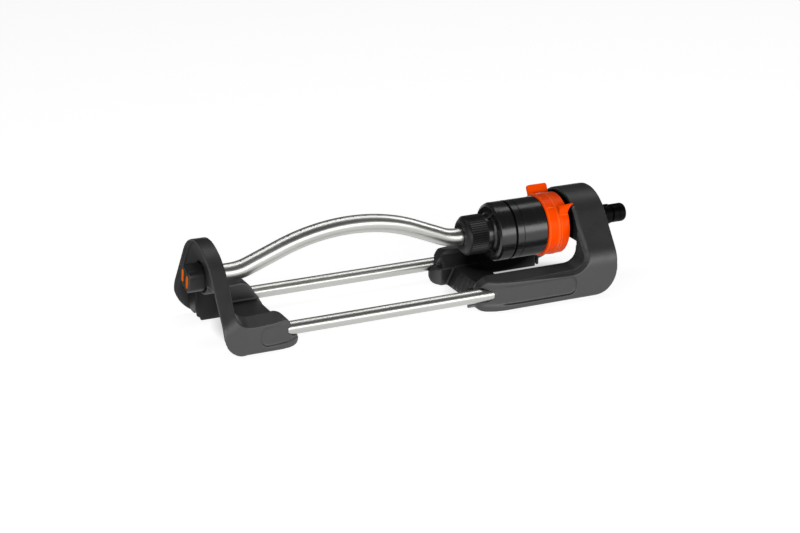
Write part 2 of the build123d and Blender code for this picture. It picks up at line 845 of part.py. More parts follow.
def gear_face(teeth, phase):
    """Outline of a spur gear with involute flanks drawn in three steps."""
    pitch = gear_module * teeth / 2
    base = pitch * math.cos(math.radians(pressure_angle))
    tip = pitch + addendum * gear_module
    root = pitch - dedendum * gear_module
    half_tooth = (math.pi / teeth - backlash * gear_module / pitch) / 2

    def spread(radius):
        if radius <= base:
            radius = base
        slope = math.acos(base / radius)
        start = math.radians(pressure_angle)
        involute = math.tan(slope) - slope
        return half_tooth + math.tan(start) - start - involute

    points = []
    for n in range(teeth):
        middle = math.radians(phase + 360 / teeth * n)
        flank = [(root, spread(base)), (pitch, spread(pitch)), (tip, spread(tip))]
        for radius, half in [(r, -h) for r, h in flank] + [(r, h) for r, h in reversed(flank)]:
            points.append((-radius * math.sin(middle + half), radius * math.cos(middle + half)))
    return make_face(Polyline(*points, close=True))


def meshed(teeth, other_teeth, other_phase, bearing):
    """Phase of a gear that meshes with another whose centre lies at the given bearing."""
    step = 360 / other_teeth
    offset = (bearing + 180 - other_phase) % step
    return bearing + offset * other_teeth / teeth + 180 / teeth


# Bearings round the axis, from the top towards the viewer: the first axle stands at -30
# degrees and the second at +30, so from the first axle the second lies at +90.
first_bearing, second_bearing, between_bearing = -30, 30, 90
turbine_phase = 0.0
first_wheel_phase = meshed(wheel_teeth, pinion_teeth, turbine_phase, first_bearing + 180)
first_pinion_phase = 0.0
second_wheel_phase = meshed(wheel_teeth, pinion_teeth, first_pinion_phase, between_bearing + 180)
second_pinion_phase = 0.0
sun_phase = meshed(wheel_teeth, pinion_teeth, second_pinion_phase, second_bearing)
first_layer = plate_end + gear_gap
second_layer = first_layer + pinion_width + gear_gap
sun_end = rear_wall_start - washer_thickness - washer_gap
sun_start = sun_end - sun_width


def turbine_shaft():
    """Steel pin with the first pinion on its end."""
    front = cap_start + front_corner - spider_length + 0.5
    pin = rod(turbine_pin_radius, front, first_layer + 1)
    return pin + along_x(gear_face(pinion_teeth, turbine_phase), first_layer, first_layer + pinion_width)


def turbine_wheel():
    """Wheel with straight radial blades, so that it can be driven either way."""
    start = cap_start + front_corner + turbine_clearance
    end = start + turbine_width
    wheel = rod(turbine_hub_radius, start, end)
    wheel += rod(turbine_radius, start, start + turbine_disc)
    blade = block(
        start, end, -blade_thickness / 2, blade_thickness / 2, turbine_hub_radius - 1, turbine_radius - 0.3)
    wheel += around(blade, blade_count)
    return wheel - rod(turbine_pin_radius, start - 1, end + 1)


def first_compound_gear():
    """Wheel driven by the turbine's pinion, with a pinion of its own."""
    spot = Pos(0, *gear_spots()[0])
    gear = along_x(gear_face(wheel_teeth, first_wheel_phase), first_layer, first_layer + wheel_width)
    pinion = gear_face(pinion_teeth, first_pinion_phase)
    gear += along_x(pinion, first_layer + wheel_width, second_layer + wheel_width)
    return spot * (gear - rod(axle_radius + bearing_gap, first_layer - 1, second_layer + wheel_width + 1))


def second_compound_gear():
    """Wheel driven by the first compound gear, whose pinion walks round the fixed gear."""
    spot = Pos(0, *gear_spots()[1])
    gear = along_x(gear_face(wheel_teeth, second_wheel_phase), second_layer, second_layer + wheel_width)
    gear += along_x(gear_face(pinion_teeth, second_pinion_phase), second_layer + wheel_width, sun_end)
    return spot * (gear - rod(axle_radius + bearing_gap, second_layer - 1, sun_end + 1))


def sun_gear():
    """Fixed gear on the inlet pipe that the train reacts against."""
    gear = along_x(gear_face(wheel_teeth, sun_phase), sun_start, sun_end)
    return gear - rod(pipe_radius, sun_start - 1, sun_end + 1)


# Reversing gear

trip_start = housing_end + trip_gap - rear_pocket + 1.0


def reversing_flap():
    """Rocker that covers one jet or the other."""
    start = plate_end + flap_gap
    y, z = lever_spot
    half = flap_reach + jet_radius
    rocker = block(start, start + flap_thickness, -half, half, z - flap_height / 2, z + flap_height / 2)
    rocker += rod(lever_radius + 1.4, start, start + 2 * flap_thickness, y, z)
    return rocker - rod(lever_radius, start - 1, start + 2 * flap_thickness + 1, y, z)


def trip_lever():
    """Pin through the rear wall, with the finger that meets the stop rings' lugs."""
    start = plate_end + flap_gap
    y, z = lever_spot
    end = carrier_floor_start - trip_gap
    pin = rod(lever_radius, start, trip_start + 4, y, z)
    finger = block(
        trip_start, end, -trip_thickness / 2, trip_thickness / 2, -trip_tip_radius, z + lever_radius + 1)
    return pin + finger


def lever_seal():
    """Small round seal on the lever's pin."""
    section = seal_section - bearing_gap / 2
    seal = o_ring(lever_radius + 2 * seal_section - section, section, rear_wall_end - lever_gland / 2)
    return Pos(0, *lever_spot) * seal


def toggle_spring():
    """Leaf spring beside the finger, which snaps the flap over."""
    z = lever_spot[1] + lever_radius + 1 + spring_gap
    end = rear_wall_end + spring_width
    leaf = block(rear_wall_end, end, -flap_reach, flap_reach, z, z + spring_thickness)
    feet = [block(rear_wall_end, end, side * flap_reach - 0.5, side * flap_reach + 0.5, z, z + 2)
            for side in (-1, 1)]
    return leaf + feet


# Fixed inlet

shoulder_start = journal_end + washer_thickness / 2 + washer_gap
collar_start = web_left - inlet_collar_length
carrier_floor_start = collar_start - carrier_floor
thread_end = hub_end + thread_length


def inlet_pipe():
    """Fixed pipe through the frame's hub that the motor turns on."""
    chamber = web_left + inlet_collar_length
    return lathe(
        (sun_start - 0.5, pipe_bore), (sun_start - 0.5, pipe_radius), (shoulder_start, pipe_radius),
        (shoulder_start, pipe_shoulder_radius), (collar_start, pipe_shoulder_radius),
        (collar_start, inlet_collar_radius), (web_left, inlet_collar_radius), (web_left, spigot_radius),
        (thread_end, spigot_radius), (thread_end, filter_chamber_radius),
        (chamber, filter_chamber_radius), (chamber - 2, pipe_bore))


def lug_sector(start, end, centre, before, after):
    """Part of a ring's reach through the carrier's wall, between two angles."""
    span = before + after
    wedge = revolve(make_face(Polyline(
        (start, lug_inner_radius), (end, lug_inner_radius),
        (end, carrier_radius + 1), (start, carrier_radius + 1),
        close=True)), Axis.X, span)
    return Rot(90 + centre - before, 0, 0) * wedge


# The finger swings about the bottom, and each ring's lug waits just past one end of the swing.
left_lug_centre = 180 - swing_half_angle - lug_lead
right_lug_centre = 180 + swing_half_angle + lug_lead
left_lug_start = left_ring_start + (stop_ring_width - lug_width) / 2
right_lug_start = right_ring_start + lug_slot_gap


def ring_carrier():
    """Fixed drum under the stop rings, slotted for their lugs."""
    front = left_ring_start + carrier_front_gap
    drum = lathe(
        (front, carrier_bore), (front, carrier_radius), (right_ring_end, carrier_radius),
        (right_ring_end, carrier_bore), (collar_start, carrier_bore), (collar_start, pipe_shoulder_radius),
        (carrier_floor_start, pipe_shoulder_radius), (carrier_floor_start, carrier_bore))
    room = lug_angle / 2 + ring_overtravel + 1
    far = lug_angle / 2 + ring_travel + 1
    wide = lug_width + lug_slot_gap
    slots = lug_sector(left_lug_start - lug_slot_gap, left_lug_start + wide, left_lug_centre, room, far)
    slots += lug_sector(right_lug_start - lug_slot_gap, right_lug_start + wide, right_lug_centre, far, room)
    return drum - slots


def stop_ring(start, lug_start, lug_centre):
    """Turning ring with an inner lug, without its finger tab."""
    bore = carrier_radius + stop_ring_fit
    end = start + stop_ring_width
    edge = 0.6
    ring = lathe(
        (start, bore), (start, stop_ring_radius - edge), (start + edge, stop_ring_radius),
        (end - edge, stop_ring_radius), (end, stop_ring_radius - edge), (end, bore))
    half = lug_angle / 2
    return ring + lug_sector(lug_start, lug_start + lug_width, lug_centre, half, half)


def stop_ring_left():
    """Stop ring with a tall tab that reaches over its neighbour."""
    ring = stop_ring(left_ring_start, left_lug_start, left_lug_centre)
    top = stop_ring_radius + tab_height
    over = stop_ring_radius + tab_overhang_gap
    tab_end = right_ring_end - tab_setback
    face = FilletPolyline(
        (left_ring_start, stop_ring_radius - 0.5), (left_ring_end, stop_ring_radius - 0.5),
        (left_ring_end, over),
        (tab_end, over), (tab_end, top), (left_ring_start, top),
        radius=[0, 0, 0, tab_corner / 2, tab_corner, tab_corner], close=True)
    return ring + Rot(tab_angle, 0, 0) * across_y(make_face(face), tab_thickness / 2)


def stop_ring_right():
    """Stop ring with a pointed fin that leans out towards the frame."""
    ring = stop_ring(right_ring_start, right_lug_start, right_lug_centre)
    foot = stop_ring_radius - 0.5
    top = stop_ring_radius + fin_height
    start = right_ring_start + 0.5
    heel = right_ring_end - 1
    tip = right_ring_end + fin_overhang
    face = make_face([
        Line((heel, foot), (start, foot)),
        Line((start, foot), (start, top - fin_rise)),
        Line((start, top - fin_rise), (tip, top)),
        ThreePointArc((tip, top), (right_ring_end + 0.5, top - 2.2), (heel, foot)),
    ])
    wedge = make_face(Polyline(
        polar(foot, fin_upper_foot), polar(top, fin_angle - fin_ridge / 2),
        polar(top, fin_angle + fin_ridge / 2), polar(foot, fin_lower_foot), close=True))
    return ring + (Rot(fin_angle, 0, 0) * across_y(face, top) & along_x(wedge, start, tip))


nipple_seal_start = thread_end
nipple_seal_end = nipple_seal_start + 1.5
nipple_nut_start = hub_end
nipple_nut_end = nipple_nut_start + nipple_nut_length


def nipple_seal():
    """Flat seal between the inlet pipe and the nipple."""
    return lathe(
        (nipple_seal_start, filter_chamber_radius), (nipple_seal_start, spigot_radius),
        (nipple_seal_end, spigot_radius), (nipple_seal_end, filter_chamber_radius))


def hose_nipple():
    """Click-type hose nipple with the nut that clamps the inlet pipe in the hub."""
    end = half_length
    collar = end - nipple_collar_end
    notch = end - nipple_notch_end
    dip = end - nipple_dip
    return lathe(
        (nipple_nut_start, spigot_radius + thread_fit), (nipple_nut_start, nipple_nut_radius),
        (nipple_nut_end, nipple_nut_radius), (nipple_nut_end, nipple_collar_radius),
        (collar, nipple_collar_radius), (collar + nipple_slope, nipple_notch_radius),
        (notch, nipple_notch_radius), (notch + nipple_slope, nipple_lobe_radius),
        (dip - nipple_dip_width, nipple_lobe_radius), (dip, nipple_dip_radius),
        (dip + nipple_dip_width, nipple_lobe_radius), (end - nipple_tip, nipple_lobe_radius),
        (end - nipple_tip / 3, nipple_lobe_radius - nipple_tip / 3), (end, nipple_lobe_radius - nipple_tip),
        (end, nipple_bore), (nipple_seal_end, nipple_bore), (nipple_seal_end, spigot_radius + thread_fit))


def inlet_filter():
    """Slotted strainer cup that drops into the inlet pipe."""
    end = thread_end
    start = end - filter_length
    rim = filter_chamber_radius - 0.05
    cup = lathe(
        (start, 0), (start, rim - 1.5), (end - 2, rim - 1.5), (end - 2, rim), (end, rim),
        (end, rim - 1.5 - filter_wall), (start + filter_wall, rim - 1.5 - filter_wall),
        (start + filter_wall, 0))
    slot = block(start + 3, end - 4, -filter_slot_width / 2, filter_slot_width / 2, rim - 4, rim + 1)
    return cup - around(slot, filter_slots)


# Every node, with the pieces of the swinging motor set at the rest tilt

fixed = {
    "left_bracket": left_bracket(),
    "right_frame": right_frame(),
    "base_tube_front": base_tube(-1),
    "base_tube_back": base_tube(1),
}
still = {
    "bearing_bush": bearing_bush,
    "inlet_pipe": inlet_pipe,
    "ring_carrier": ring_carrier,
    "hose_nipple": hose_nipple,
    "nipple_seal": nipple_seal,
    "inlet_filter": inlet_filter,
    "stop_ring_left": stop_ring_left,
    "stop_ring_right": stop_ring_right,
}
swinging = {
    "sun_gear": sun_gear,
    "spray_tube": spray_tube,
    "tube_ferrule": tube_ferrule,
    "tube_seal": tube_seal,
    "union_nut": union_nut,
    "motor_cap": motor_cap,
    "cap_seal": cap_seal,
    "motor_housing": motor_housing,
    "jet_plate": jet_plate,
    "gear_axles": gear_axles,
    "rotary_seal": rotary_seal,
    "thrust_washers": thrust_washers,
    "turbine_shaft": turbine_shaft,
    "turbine_wheel": turbine_wheel,
    "first_compound_gear": first_compound_gear,
    "second_compound_gear": second_compound_gear,
    "reversing_flap": reversing_flap,
    "trip_lever": trip_lever,
    "lever_seal": lever_seal,
    "toggle_spring": toggle_spring,
    "end_plug": end_plug,
    "plug_stem": plug_stem,
    "cleaning_tool": cleaning_tool,
    "plug_seal": plug_seal,
}


def placed(shape, tilt):
    """A piece, or a group of like pieces, on the spray axis."""
    if isinstance(shape, list):
        return Compound([on_axis(one, tilt) for one in shape])
    return on_axis(shape, tilt)


os.makedirs("parts", exist_ok=True)
for name, shape in fixed.items():
    export_step(shape, f"parts/{name}.step")
for name, make in still.items():
    export_step(placed(make(), 0.0), f"parts/{name}.step")
for name, make in swinging.items():
    export_step(placed(make(), rest_tilt), f"parts/{name}.step")
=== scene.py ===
import json
import math
import bmesh
import bpy
from mathutils import Matrix, Vector


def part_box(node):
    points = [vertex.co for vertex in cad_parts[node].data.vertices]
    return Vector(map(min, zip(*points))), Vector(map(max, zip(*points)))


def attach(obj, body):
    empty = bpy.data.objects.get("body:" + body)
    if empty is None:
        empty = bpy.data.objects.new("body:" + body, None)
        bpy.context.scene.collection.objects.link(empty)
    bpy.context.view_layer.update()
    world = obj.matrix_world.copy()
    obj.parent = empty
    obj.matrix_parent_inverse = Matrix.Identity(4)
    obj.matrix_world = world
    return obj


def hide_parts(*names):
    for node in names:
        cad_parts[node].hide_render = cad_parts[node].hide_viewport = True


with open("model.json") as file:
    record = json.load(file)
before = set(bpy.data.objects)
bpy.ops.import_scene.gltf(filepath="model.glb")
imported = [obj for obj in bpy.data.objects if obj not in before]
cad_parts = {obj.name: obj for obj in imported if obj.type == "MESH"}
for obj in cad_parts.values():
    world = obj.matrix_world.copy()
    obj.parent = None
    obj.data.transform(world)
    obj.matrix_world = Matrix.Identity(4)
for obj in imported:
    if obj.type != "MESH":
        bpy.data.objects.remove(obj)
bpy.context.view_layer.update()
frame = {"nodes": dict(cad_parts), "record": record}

nodes = frame["nodes"]
record = frame["record"]


# Places that the frame gives, in metres

LOW, HIGH = 0, 1
X, Y, Z = 0, 1, 2


def box(node):
    """Lowest and highest corner of a CAD node, to a hundredth of a millimetre."""
    return [[round(value, 5) for value in corner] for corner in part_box(node)]


def middle_line(tube):
    """Y and Z of the line along a straight tube's middle."""
    low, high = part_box(tube)
    return (low.y + high.y) / 2, (low.z + high.z) / 2


bracket_start = box("left_bracket")[LOW][X]
frame_end = box("right_frame")[HIGH][X]
frame_half_width = box("right_frame")[HIGH][Y]
ring_radius = box("stop_ring_right")[HIGH][Y]
ring_start = {"ring_left": box("stop_ring_left")[LOW][X], "ring_right": box("stop_ring_right")[LOW][X]}
tube_lines = [middle_line(name) for name in ("base_tube_front", "base_tube_back")]
swing = next(joint for joint in record["behaviour"]["joints"] if joint["name"] == "spray_swing")
axis_height = swing["pos_m"][Z]


def add_object(name, data):
    """A new object in the scene."""
    made = bpy.data.objects.new(name, data)
    bpy.context.collection.objects.link(made)
    return made


# Building blocks of the materials

materials = {}


def new_material(name):
    """A new material, kept under its name, with its node tree and Principled shader at hand."""
    material = bpy.data.materials.new(name)
    material.use_nodes = True
    materials[name] = material
    return material.node_tree, material.node_tree.nodes["Principled BSDF"]


def use_object_space(tree, texture, scale, shift=(0.0, 0.0, 0.0)):
    """Feed a texture with the object's own coordinates, scaled and then shifted."""
    coords = tree.nodes.new("ShaderNodeTexCoord")
    mapping = tree.nodes.new("ShaderNodeMapping")
    mapping.inputs["Scale"].default_value = scale
    mapping.inputs["Location"].default_value = shift
    tree.links.new(coords.outputs["Object"], mapping.inputs["Vector"])
    tree.links.new(mapping.outputs["Vector"], texture.inputs["Vector"])


def noise(tree, scale, detail=4.0, stretch=(1.0, 1.0, 1.0)):
    """Noise in object space, stretched along the axes if asked."""
    texture = tree.nodes.new("ShaderNodeTexNoise")
    texture.inputs["Scale"].default_value = scale
    texture.inputs["Detail"].default_value = detail
    use_object_space(tree, texture, stretch)
    return texture.outputs["Fac"]


def region(tree, middle, size):
    """One in the middle of an ellipsoid, falling to nothing at its surface."""
    ball = tree.nodes.new("ShaderNodeTexGradient")
    ball.gradient_type = "SPHERICAL"
    use_object_space(tree, ball, [1 / r for r in size], [-m / r for m, r in zip(middle, size)])
    return ball.outputs["Fac"]


def remap(tree, source, low, high, start=0.0, end=1.0):
    """A number between start and end mapped to one between low and high."""
    ramp = tree.nodes.new("ShaderNodeMapRange")
    for socket, value in (("From Min", start), ("From Max", end), ("To Min", low), ("To Max", high)):
        ramp.inputs[socket].default_value = value
    tree.links.new(source, ramp.inputs["Value"])
    return ramp.outputs["Result"]


def combine(tree, operation, first, second):
    """One number worked out from two."""
    maths = tree.nodes.new("ShaderNodeMath")
    maths.operation = operation
    tree.links.new(first, maths.inputs[0])
    tree.links.new(second, maths.inputs[1])
    return maths.outputs["Value"]


# Most of what a noise gives lies between these two
noise_low, noise_high = 0.3, 0.7


def tint(tree, source, dark, light):
    """Noise mapped between two colours."""
    ramp = tree.nodes.new("ShaderNodeValToRGB")
    for stop, place, colour in zip(ramp.color_ramp.elements, (noise_low, noise_high), (dark, light)):
        stop.position = place
        stop.color = (*colour, 1)
    tree.links.new(source, ramp.inputs["Fac"])
    return ramp.outputs["Color"]


def uneven_gloss(tree, shader, source, rough):
    """Roughness that wanders between two values with a noise."""
    roughness = remap(tree, source, *rough, noise_low, noise_high)
    tree.links.new(roughness, shader.inputs["Roughness"])


edge_samples = 6
grain_strength = 0.2
grain_height = 0.00002


def grain(tree, shader, source, edge):
    """Fine relief from a noise, over edges that are softened by a small radius."""
    soft = tree.nodes.new("ShaderNodeBevel")
    soft.samples = edge_samples
    soft.inputs["Radius"].default_value = edge
    bump = tree.nodes.new("ShaderNodeBump")
    bump.inputs["Strength"].default_value = grain_strength
    bump.inputs["Distance"].default_value = grain_height
    tree.links.new(source, bump.inputs["Height"])
    tree.links.new(soft.outputs["Normal"], bump.inputs["Normal"])
    tree.links.new(bump.outputs["Normal"], shader.inputs["Normal"])


# Painted shade: samples for finding hollows, the near black that shaded places take, and how far into a
# region the shade becomes full
hollow_samples = 8
hollow_colour = (0.001, 0.001, 0.001, 1)
full_shade_from = 0.45


def shade_hollows(tree, shader, colour, specular, reach, shades=(), open_from=0.30, open_to=0.85):
    """Painted shade: hollows, and the rounded regions in shades, get less colour and shine than open faces.
    """
    sky = tree.nodes.new("ShaderNodeAmbientOcclusion")
    sky.samples = hollow_samples
    sky.inputs["Distance"].default_value = reach
    level = remap(tree, sky.outputs["AO"], 0.0, 1.0, open_from, open_to)
    for middle, size, least in shades:
        fade = remap(tree, region(tree, middle, size), 1.0, least, 0.0, full_shade_from)
        level = combine(tree, "MULTIPLY", level, fade)
    mix = tree.nodes.new("ShaderNodeMix")
    mix.data_type = "RGBA"
    mix.inputs["A"].default_value = hollow_colour
    tree.links.new(level, mix.inputs["Factor"])
    tree.links.new(colour, mix.inputs["B"])
    tree.links.new(mix.outputs["Result"], shader.inputs["Base Color"])
    tree.links.new(remap(tree, level, 0.0, specular), shader.inputs["Specular IOR Level"])


mottle_scale = 35.0
gloss_scale = 120.0
fine_grain, coarse_grain = 900.0, 300.0
plain_detail = 2.0


def moulded(name, dark, light, rough, edge=0.0008, texture=fine_grain, specular=0.5, reach=0.0, **hollows):
    """Moulded plastic: faint mottling, uneven gloss, grain, soft edges and, with a reach, painted shade in
    its hollows.
    """
    tree, shader = new_material(name)
    colour = tint(tree, noise(tree, mottle_scale), dark, light)
    if reach:
        shade_hollows(tree, shader, colour, specular, reach, **hollows)
    else:
        shader.inputs["Specular IOR Level"].default_value = specular
        tree.links.new(colour, shader.inputs["Base Color"])
    uneven_gloss(tree, shader, noise(tree, gloss_scale), rough)
    grain(tree, shader, noise(tree, texture, plain_detail), edge)
    return shader


def orange(name, **look):
    """Moulded orange with warm highlights and a faint painted glow that stands in for light shining through
    it.
    """
    shader = moulded(name, texture=coarse_grain, **look)
    shader.inputs["Specular Tint"].default_value = (1.0, 0.45, 0.15, 1)
    # Painted glow: the orange gives off a little light of its own
    shader.inputs["Emission Color"].default_value = (1.0, 0.07, 0.0, 1)
    shader.inputs["Emission Strength"].default_value = 0.12


polish_scale = 60.0
polish_stretch = (0.2, 1.0, 1.0)
steel_specular = 0.5
# How far the painted shade reaches into the steel's holes
hole_reach = 0.0012


def drawn_steel(name, dark, light, rough):
    """Drawn steel with a slightly uneven polish and painted shade inside its holes."""
    tree, shader = new_material(name)
    shader.inputs["Metallic"].default_value = 1.0
    polish = noise(tree, polish_scale, plain_detail, polish_stretch)
    shade_hollows(tree, shader, tint(tree, polish, dark, light), steel_specular, hole_reach)
    uneven_gloss(tree, shader, polish, rough)


# Materials

# Painted shade on regions of the end frames that get little light: middle, size and the share of colour kept
# in the middle
under_motor = ((0.105, 0.025, 0.018), (0.070, 0.045, 0.032), 0.04)
left_far_foot = ((-0.190, 0.030, 0.018), (0.030, 0.055, 0.040), 0.40)
left_far_leg = ((-0.202, 0.025, 0.048), (0.022, 0.062, 0.046), 0.42)
right_far_nose = ((0.026, 0.046, 0.013), (0.016, 0.030, 0.024), 0.35)

# Satin dark grey of the end frames, with painted shade in its hollows and on the regions above
moulded("frame_plastic", dark=(0.020, 0.020, 0.0205), light=(0.024, 0.024, 0.0245), rough=(0.38, 0.46),
        edge=0.0004, specular=0.75, reach=0.018,
        shades=(under_motor, left_far_foot, left_far_leg, right_far_nose))

# Polished black of the motor and the inlet pipe, with painted shade in its hollows
moulded("motor_plastic", dark=(0.006, 0.006, 0.007), light=(0.009, 0.009, 0.010), rough=(0.20, 0.26),
        edge=0.0005, texture=coarse_grain, specular=0.7, reach=0.003)

# Matt black of the end plug, with painted shade in its hollows
moulded("nut_plastic", dark=(0.010, 0.010, 0.010), light=(0.014, 0.014, 0.014), rough=(0.36, 0.46),
        edge=0.0003, reach=0.0025)

# The ribbed nut's black, with painted shade between the ribs
moulded("grip_plastic", dark=(0.006, 0.007, 0.006), light=(0.009, 0.010, 0.009), rough=(0.36, 0.46),
        edge=0.0002, specular=0.36, reach=0.0020, open_from=0.50, open_to=0.92)

# Deep black of the hose nipple
moulded("nipple_plastic", dark=(0.001, 0.001, 0.001), light=(0.002, 0.002, 0.002), rough=(0.40, 0.50),
        edge=0.0004, specular=0.06)

# Orange of the stop rings, a lighter orange on their ridges as painted highlights, both with a faint painted
# glow, and the duller one of the cleaning tool
orange("ring_plastic", dark=(0.94, 0.060, 0.0), light=(1.0, 0.068, 0.0), rough=(0.24, 0.32),
       edge=0.0006, specular=0.18)
orange("ridge_highlight_plastic", dark=(0.98, 0.095, 0.008), light=(1.0, 0.105, 0.010), rough=(0.26, 0.32),
       edge=0.0002, specular=0.3)
moulded("tool_plastic", dark=(0.70, 0.12, 0.006), light=(0.80, 0.15, 0.010), rough=(0.5, 0.6),
        edge=0.0003, texture=coarse_grain, specular=0.0)

# Steel of the tubes, and of the small parts inside, with painted shade in their holes
drawn_steel("tube_steel", dark=(0.48, 0.48, 0.46), light=(0.52, 0.52, 0.50), rough=(0.28, 0.31))
drawn_steel("pin_steel", dark=(0.50, 0.50, 0.51), light=(0.60, 0.60, 0.61), rough=(0.22, 0.32))

# White gears, dark grey bearings and black seals
moulded("gear_plastic", dark=(0.72, 0.71, 0.66), light=(0.80, 0.79, 0.74), rough=(0.35, 0.45))
moulded("bearing_plastic", dark=(0.06, 0.06, 0.06), light=(0.08, 0.08, 0.08), rough=(0.38, 0.46))
moulded("seal_rubber", dark=(0.001, 0.001, 0.001), light=(0.002, 0.002, 0.002), rough=(0.6, 0.75),
        edge=0.0002, specular=0.05)

# Every node takes the material of its slot, apart from three with a finish of their own
sharp_angle = math.radians(32)
look_of = {part["node"]: part["material_slot"] for part in record["subparts"]}
look_of.update(hose_nipple="nipple_plastic", cleaning_tool="tool_plastic", union_nut="grip_plastic")
for name, node in nodes.items():
    node.data.materials.clear()
    node.data.materials.append(materials[look_of[name]])
    node.data.shade_smooth()
    node.data.set_sharp_from_angle(angle=sharp_angle)


def keep_out_of_reflections(piece):
    """The neighbours don't mirror this piece or take on its colour."""
    piece.visible_diffuse = False
    piece.visible_glossy = False


for name in ("stop_ring_left", "stop_ring_right"):
    keep_out_of_reflections(nodes[name])


# Shapes

def loft(work, rows, joined=False, capped=False):
    """Faces through rows of points, each a closed loop: the ends are joined to each other, capped or open."""
    loops = [[work.verts.new(point) for point in row] for row in rows]
    next_loops = loops[1:] + loops[:1] if joined else loops[1:]
    size = len(loops[0])
    for first, second in zip(loops, next_loops):
        for n in range(size):
            beside = (n + 1) % size
            work.faces.new((first[n], first[beside], second[beside], second[n]))
    if capped:
        work.faces.new(loops[0])
        work.faces.new(loops[-1])


# Panels in the flanks of the feet and bars, which follow their rounded noses

nose_bulge = 0.020
clear_of_flank = 0.068
panel_middle = 0.0143
panel_half_height = 0.0085
panel_corner = 0.007
panel_fade = 0.012
panel_steps = 28
panel_crowding = 1.6
panel_first_step = 0.0002


def panel_sections(tip, facing, nose, closed, opened, depth):
    """Sections of a panel that runs from closed to opened, both measured back from a nose's tip.

    The nose points along X, facing 1 or -1. The panel gets shallower towards its open end.
    """
    sections = []
    for step in range(panel_steps + 1):
        share = (step / panel_steps) ** panel_crowding
        along = panel_first_step + (closed - opened - panel_first_step) * share
        back = closed - along
        place = tip - facing * back
        taper = max(0.0, 1 - back / nose)
        flank = frame_half_width - nose_bulge + nose_bulge * math.sqrt(1 - taper ** 2)
        flank -= depth * min(1.0, (back - opened) / panel_fade)
        rounding = panel_corner - min(along, panel_corner)
        half = panel_half_height - panel_corner + math.sqrt(panel_corner ** 2 - rounding ** 2)
        bottom, top = panel_middle - half, panel_middle + half
        sections.append([(place, -clear_of_flank, bottom), (place, -flank, bottom),
                         (place, -flank, top), (place, -clear_of_flank, top)])
    return sections


# The chamfer round the right frame's window: along the bar's top edge, round the corner and up the post

# The frame's outline, seen from its end
foot_side_height = 0.0278
foot_radius = 0.026
leg_height = 0.0431
leg_half_width = 0.0520
leg_slope = 0.726

# The window's edge, seen from the front
bar_top = 0.0268
window_start = frame_end - 0.1105
window_top = 0.078
corner_place, corner_height = frame_end - 0.0460, 0.042
corner_radius = 0.0150
post_place, post_height = frame_end - 0.0338, 0.030
post_lean = 0.052
post_sweep = 0.158
post_flat_half_width = 0.037
bar_steps, corner_steps, post_steps = 8, 12, 12

# The chamfer along that edge
chamfer_start = frame_end - 0.0965
chamfer_growth = 0.060
chamfer_least = 0.25
chamfer_width = 0.0034
steepest_lift = 0.588


def arch_half_width(height):
    """Half width of the right frame's outline at a height."""
    if height <= foot_side_height:
        return frame_half_width
    if height <= leg_height:
        rise = height - foot_side_height
        return frame_half_width - foot_radius + math.sqrt(foot_radius ** 2 - rise ** 2)
    return leg_half_width - (height - leg_height) * leg_slope


def window_path():
    """X and Z of points along the window's edge, each with the way that the window's inner side faces."""
    path = []
    for step in range(bar_steps + 1):
        place = window_start + (corner_place - window_start) * step / bar_steps
        path.append((place, bar_top, (0.0, 1.0)))
    for step in range(1, corner_steps + 1):
        angle = math.pi / 2 * step / corner_steps
        place = corner_place + corner_radius * math.sin(angle)
        height = corner_height - corner_radius * math.cos(angle)
        path.append((place, height, (-math.sin(angle), math.cos(angle))))
    for step in range(1, post_steps + 1):
        height = corner_height + (window_top - corner_height) * step / post_steps
        swell = max(0.0, arch_half_width(height) - post_flat_half_width)
        place = post_place + post_lean * (height - post_height) + post_sweep * swell
        path.append((place, height, (-1.0, 0.0)))
    return path


def window_sections():
    """Sections of the chamfer along the window's edge, narrower towards the bar's nose."""
    sections = []
    for place, height, (across, up) in window_path():
        growth = max(0.0, place - chamfer_start) / chamfer_growth
        size = chamfer_width * min(1.0, chamfer_least + growth)
        lift = min(max((height - foot_side_height) / foot_radius, 0.0), steepest_lift)
        middle = Vector((place, -arch_half_width(height), height))
        side = Vector((across, 0.0, up)) * size
        face = Vector((0.0, -math.sqrt(1 - lift ** 2), lift)) * size
        sections.append([middle + face, middle + side, middle - face, middle - side])
    return sections


# Soft skins over the two mouldings, with the panels and the chamfer let in

voxel = 0.0006
ease_factor = 0.5
ease_rounds = 12
least_ease = 0.1
ease_from_tube = 0.0075
ease_blend = 0.003
collar_segments = 64


def make_cutter(cuts):
    """Object that takes all the cuts out of both sides."""
    work = bmesh.new()
    for sections in cuts:
        for side in (1, -1):
            rows = [[(x, side * y, z) for x, y, z in section] for section in sections]
            loft(work, rows, capped=True)
    bmesh.ops.recalc_face_normals(work, faces=work.faces)
    mesh = bpy.data.meshes.new("cutter")
    work.to_mesh(mesh)
    work.free()
    return add_object("cutter", mesh)


def add_collars(mesh, start, end, radius):
    """Add a solid collar round each base tube to a mesh."""
    work = bmesh.new()
    work.from_mesh(mesh)
    for y, z in tube_lines:
        along_x = Matrix.Translation(((start + end) / 2, y, z)) @ Matrix.Rotation(math.pi / 2, 4, "Y")
        bmesh.ops.create_cone(work, cap_ends=True, segments=collar_segments, radius1=radius, radius2=radius,
                              depth=end - start, matrix=along_x)
    work.to_mesh(mesh)
    work.free()


def add_remesh(piece, name):
    """Rebuild a piece as one closed skin."""
    skin = piece.modifiers.new(name, "REMESH")
    skin.mode = "VOXEL"
    skin.voxel_size = voxel
    skin.use_smooth_shade = True


def apply_modifiers(piece):
    """Replace a piece's mesh by what its modifiers make of it."""
    shaped = piece.evaluated_get(bpy.context.evaluated_depsgraph_get())
    mesh = bpy.data.meshes.new_from_object(shaped)
    piece.modifiers.clear()
    piece.data = mesh
    mesh.name = piece.name


